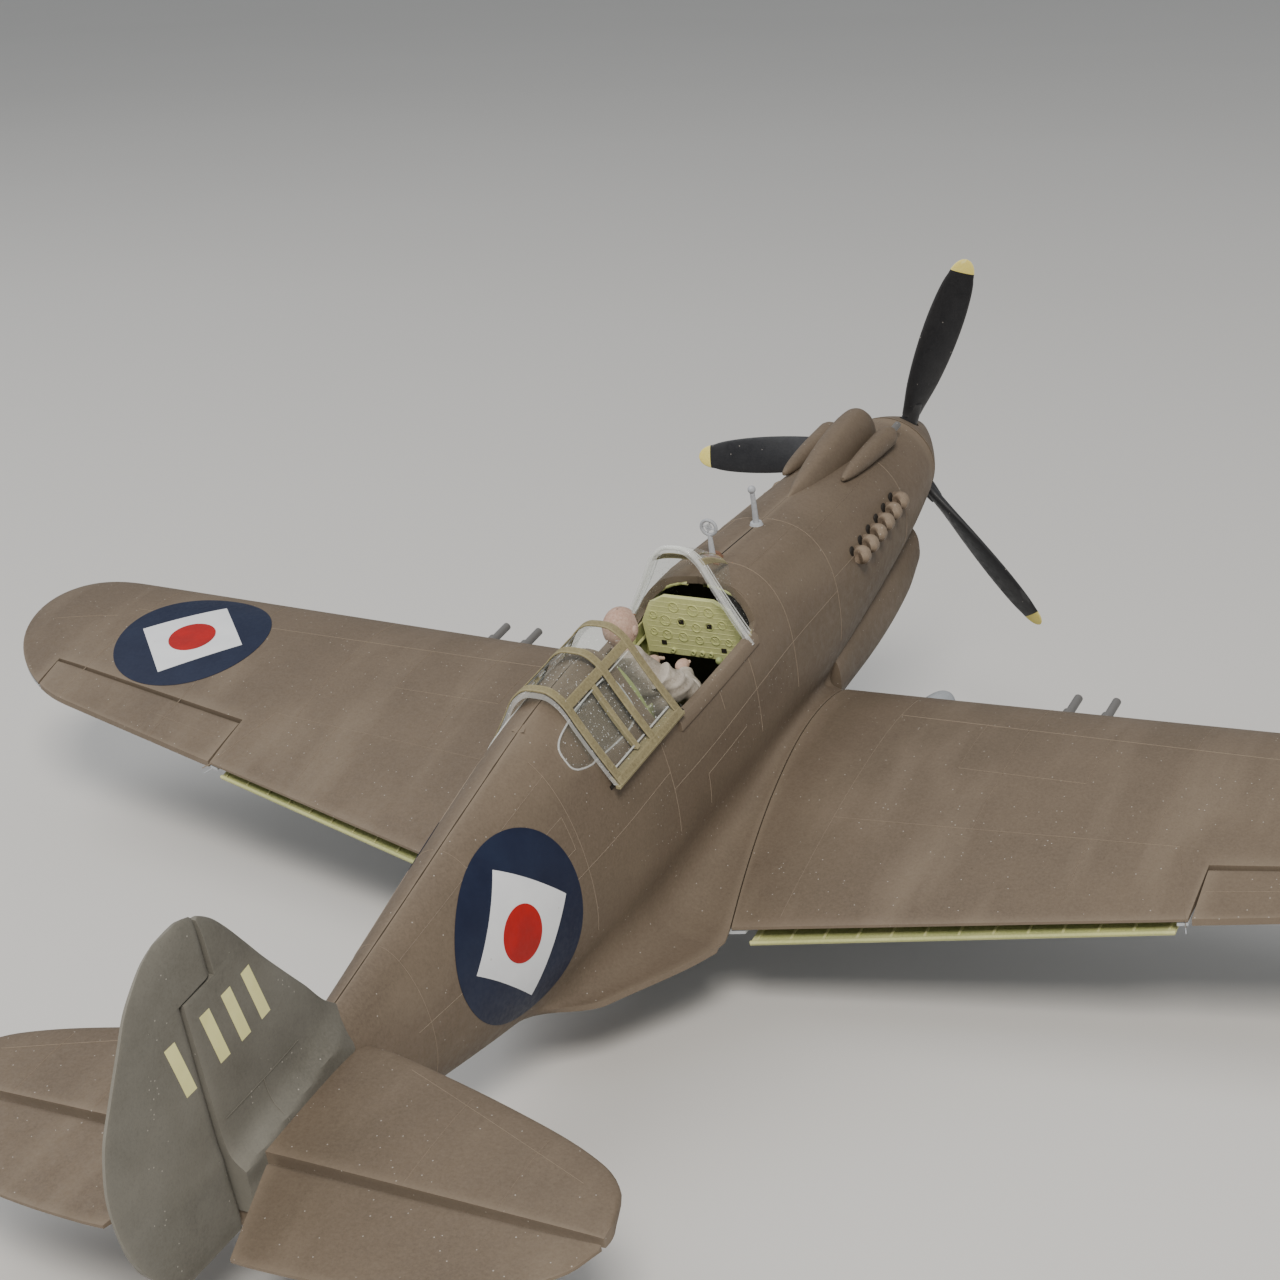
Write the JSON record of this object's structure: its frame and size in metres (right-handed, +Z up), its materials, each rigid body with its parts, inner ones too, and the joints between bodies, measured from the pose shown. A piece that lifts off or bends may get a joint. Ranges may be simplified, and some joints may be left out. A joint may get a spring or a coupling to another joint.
{
  "type": "warbird scale model plane",
  "caption": "Tail-wheel fighter display model with spinning propeller, sliding canopy, moulded pilot, hinged control surfaces, flaps and free-rolling wheels.",
  "frame": {"origin": "centre of the model's box on the surface that its three wheels stand on", "axes": "+X towards the left wing tip, -Y towards the nose, +Z up with the model standing tail down on its wheels"},
  "size_m": [0.2396, 0.1982, 0.0813],
  "materials": {
    "olive_paint": "matte olive brown paint over grey styrene, fine grain, light dry-brushed edges and engraved panel lines",
    "belly_grey_paint": "matte neutral grey paint",
    "frame_yellow_green": "brushed yellow-green primer on canopy frames, flap bays and instrument panel",
    "cockpit_green": "matte interior green",
    "blade_black": "semi-matte black paint with yellow tips",
    "gunmetal": "dark gun metal, satin",
    "exhaust_brown": "burnt brown with dusty edges",
    "sight_grey": "matte light grey",
    "bare_metal": "aluminium paint, satin",
    "tyre_black": "matte rubber-black paint",
    "skin": "matte pinkish figure paint",
    "flying_suit": "matte grey-tan paint with shaded folds",
    "seat_green": "matte green",
    "clear_styrene": "clear polished styrene, slightly milky at the edges"
  },
  "bodies": {
    "airframe": {"left_fuselage_half": "olive_paint", "right_fuselage_half": "olive_paint", "chin_cowling": "olive_paint", "carburettor_scoop": "olive_paint", "left_gun_fairing": "olive_paint", "right_gun_fairing": "olive_paint", "left_nose_gun": "gunmetal", "right_nose_gun": "gunmetal", "left_exhaust_stacks": "exhaust_brown", "right_exhaust_stacks": "exhaust_brown", "ring_sight": "sight_grey", "bead_sight": "sight_grey", "propeller_bearing": "bare_metal", "lower_wing": "belly_grey_paint", "left_upper_wing": "olive_paint", "right_upper_wing": "olive_paint", "left_inner_wing_gun": "gunmetal", "left_outer_wing_gun": "gunmetal", "right_inner_wing_gun": "gunmetal", "right_outer_wing_gun": "gunmetal", "left_stabilizer": "olive_paint", "right_stabilizer": "olive_paint", "left_gear_leg": "bare_metal", "right_gear_leg": "bare_metal", "left_gear_fairing": "belly_grey_paint", "right_gear_fairing": "belly_grey_paint", "left_gear_door": "belly_grey_paint", "right_gear_door": "belly_grey_paint", "tail_wheel_strut": "bare_metal", "cockpit_floor": "cockpit_green", "instrument_panel": "frame_yellow_green", "pilot_seat": "seat_green", "control_stick": "blade_black", "pilot_body": "flying_suit", "pilot_head": "skin", "windscreen_glass": "clear_styrene", "windscreen_frame": "frame_yellow_green", "left_rear_window": "clear_styrene", "right_rear_window": "clear_styrene"},
    "propeller": {"spinner": "olive_paint", "propeller_hub": "gunmetal", "propeller_blade_1": "blade_black", "propeller_blade_2": "blade_black", "propeller_blade_3": "blade_black"},
    "canopy": {"canopy_glass": "clear_styrene", "canopy_frame": "frame_yellow_green"},
    "left_flap": {"left_flap": "frame_yellow_green"},
    "right_flap": {"right_flap": "frame_yellow_green"},
    "left_aileron": {"left_aileron": "olive_paint"},
    "right_aileron": {"right_aileron": "olive_paint"},
    "left_elevator": {"left_elevator": "olive_paint"},
    "right_elevator": {"right_elevator": "olive_paint"},
    "rudder": {"rudder": "olive_paint"},
    "left_wheel": {"left_tyre": "tyre_black", "left_wheel_hub": "bare_metal"},
    "right_wheel": {"right_tyre": "tyre_black", "right_wheel_hub": "bare_metal"},
    "tail_wheel": {"tail_tyre": "tyre_black", "tail_wheel_hub": "bare_metal"}
  },
  "joints": [
    {"name": "propeller_spin", "type": "hinge", "parent": "airframe", "child": "propeller", "pos_m": [0, -0.09016, 0.05085], "axis": [0, -0.9722, 0.2341], "continuous": true},
    {"name": "canopy_slide", "type": "slide", "parent": "airframe", "child": "canopy", "axis": [0, -0.9722, 0.2341], "range_m": [0, 0.016]},
    {"name": "left_flap_hinge", "type": "hinge", "parent": "airframe", "child": "left_flap", "pos_m": [0.01792, -0.00872, 0.01446], "axis": [-0.9825, 0.155, -0.1035], "range_deg": [-9, 35]},
    {"name": "right_flap_hinge", "type": "hinge", "parent": "airframe", "child": "right_flap", "pos_m": [-0.01792, -0.00872, 0.01446], "axis": [-0.9825, -0.155, 0.1035], "range_deg": [-9, 35]},
    {"name": "left_aileron_hinge", "type": "hinge", "parent": "airframe", "child": "left_aileron", "pos_m": [0.06917, -0.01725, 0.02141], "axis": [-0.984, 0.1533, -0.0905], "range_deg": [-18, 18]},
    {"name": "right_aileron_hinge", "type": "hinge", "parent": "airframe", "child": "right_aileron", "pos_m": [-0.06917, -0.01725, 0.02141], "axis": [-0.984, -0.1533, 0.0905], "range_deg": [-18, 18]},
    {"name": "left_elevator_hinge", "type": "hinge", "parent": "airframe", "child": "left_elevator", "pos_m": [0.01042, 0.07901, 0.01655], "axis": [-1, 0, 0], "range_deg": [-28, 20]},
    {"name": "right_elevator_hinge", "type": "hinge", "parent": "airframe", "child": "right_elevator", "pos_m": [-0.01042, 0.07901, 0.01655], "axis": [-1, 0, 0], "range_deg": [-28, 20]},
    {"name": "rudder_hinge", "type": "hinge", "parent": "airframe", "child": "rudder", "pos_m": [0, 0.08428, 0.02599], "axis": [0, 0.2341, 0.9722], "range_deg": [-25, 25]},
    {"name": "left_wheel_spin", "type": "hinge", "parent": "airframe", "child": "left_wheel", "pos_m": [0.02604, -0.05078, 0.00794], "axis": [1, 0, 0], "continuous": true},
    {"name": "right_wheel_spin", "type": "hinge", "parent": "airframe", "child": "right_wheel", "pos_m": [-0.02604, -0.05078, 0.00794], "axis": [1, 0, 0], "continuous": true},
    {"name": "tail_wheel_spin", "type": "hinge", "parent": "airframe", "child": "tail_wheel", "pos_m": [0, 0.06098, 0.00396], "axis": [1, 0, 0], "continuous": true}
  ],
  "couplings": [
    {"joint": "right_aileron_hinge", "follows": "left_aileron_hinge", "ratio": -1},
    {"joint": "right_elevator_hinge", "follows": "left_elevator_hinge", "ratio": 1},
    {"joint": "right_flap_hinge", "follows": "left_flap_hinge", "ratio": 1}
  ]
}
